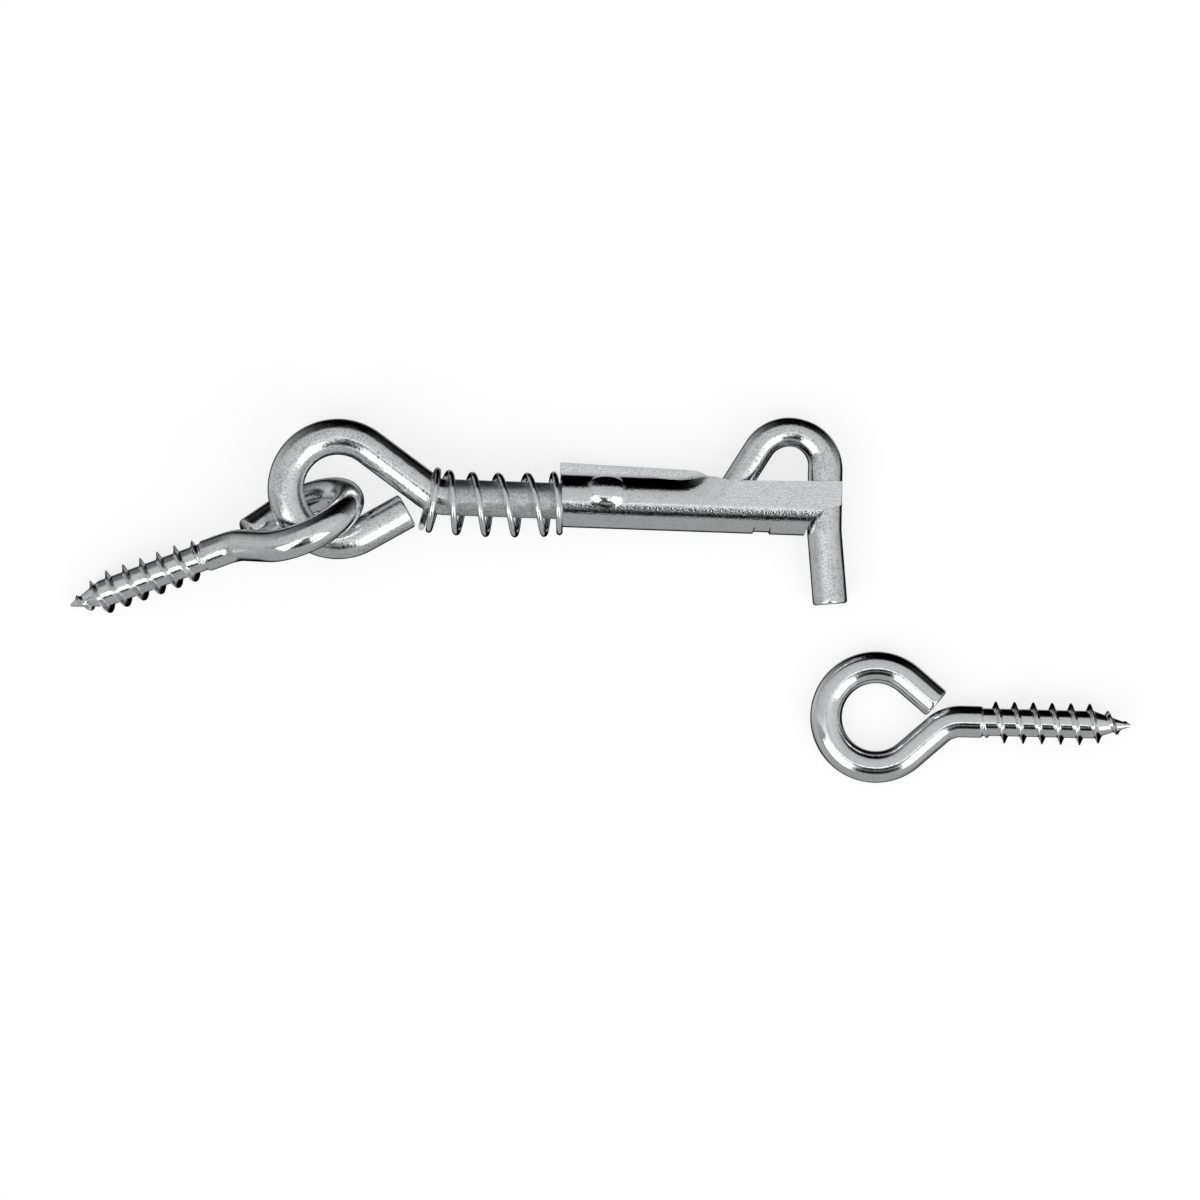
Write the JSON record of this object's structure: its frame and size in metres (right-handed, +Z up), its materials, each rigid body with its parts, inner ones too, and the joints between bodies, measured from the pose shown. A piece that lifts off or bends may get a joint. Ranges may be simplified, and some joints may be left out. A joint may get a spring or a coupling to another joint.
{
  "type": "hook and eye latch",
  "caption": "Spring-locked hook and eye latch: bent wire hook with a coil spring and sliding sheet sleeve, a linked screw eye and a loose catch eye.",
  "frame": {"origin": "middle of the whole set's footprint, on the surface it lies on", "axes": "+X along the hook's rod from the loop towards the prong, +Y to the side that the arch bows to, +Z up from the surface"},
  "size_m": [0.1474, 0.0502, 0.0172],
  "materials": {
    "hook_wire": "zinc plated wire, satin with fine mottling and draw marks",
    "spring_wire": "bright plated spring wire",
    "sleeve_sheet": "zinc plated sheet, smooth satin with bright cut edges",
    "eye_wire": "zinc plated wire, brighter and smoother than the hook, with a rolled wood-screw thread"
  },
  "bodies": {
    "hook": {"hook": "hook_wire", "compression_spring": "spring_wire"},
    "sleeve": {"locking_sleeve": "sleeve_sheet"},
    "fixed_eye": {"fixed_screw_eye": "eye_wire"},
    "catch_eye": {"catch_screw_eye": "eye_wire"}
  },
  "joints": [
    {"name": "sleeve_slide", "type": "slide", "parent": "hook", "child": "sleeve", "axis": [-0.9985, 0, 0.055], "range_m": [0, 0.0105], "stiffness_N_per_m": 2000, "springref_m": -0.003, "deforming": ["compression_spring"]},
    {"name": "eye_swing", "type": "hinge", "parent": "hook", "child": "fixed_eye", "pos_m": [-0.03696, 0.01297, 0.00741], "axis": [0.055, 0, 0.9985], "range_deg": [-150, 95]},
    {"name": "catch_eye_lift", "type": "slide", "parent": "hook", "child": "catch_eye", "axis": [0, 0, 1], "range_m": [0, 0.05]}
  ]
}
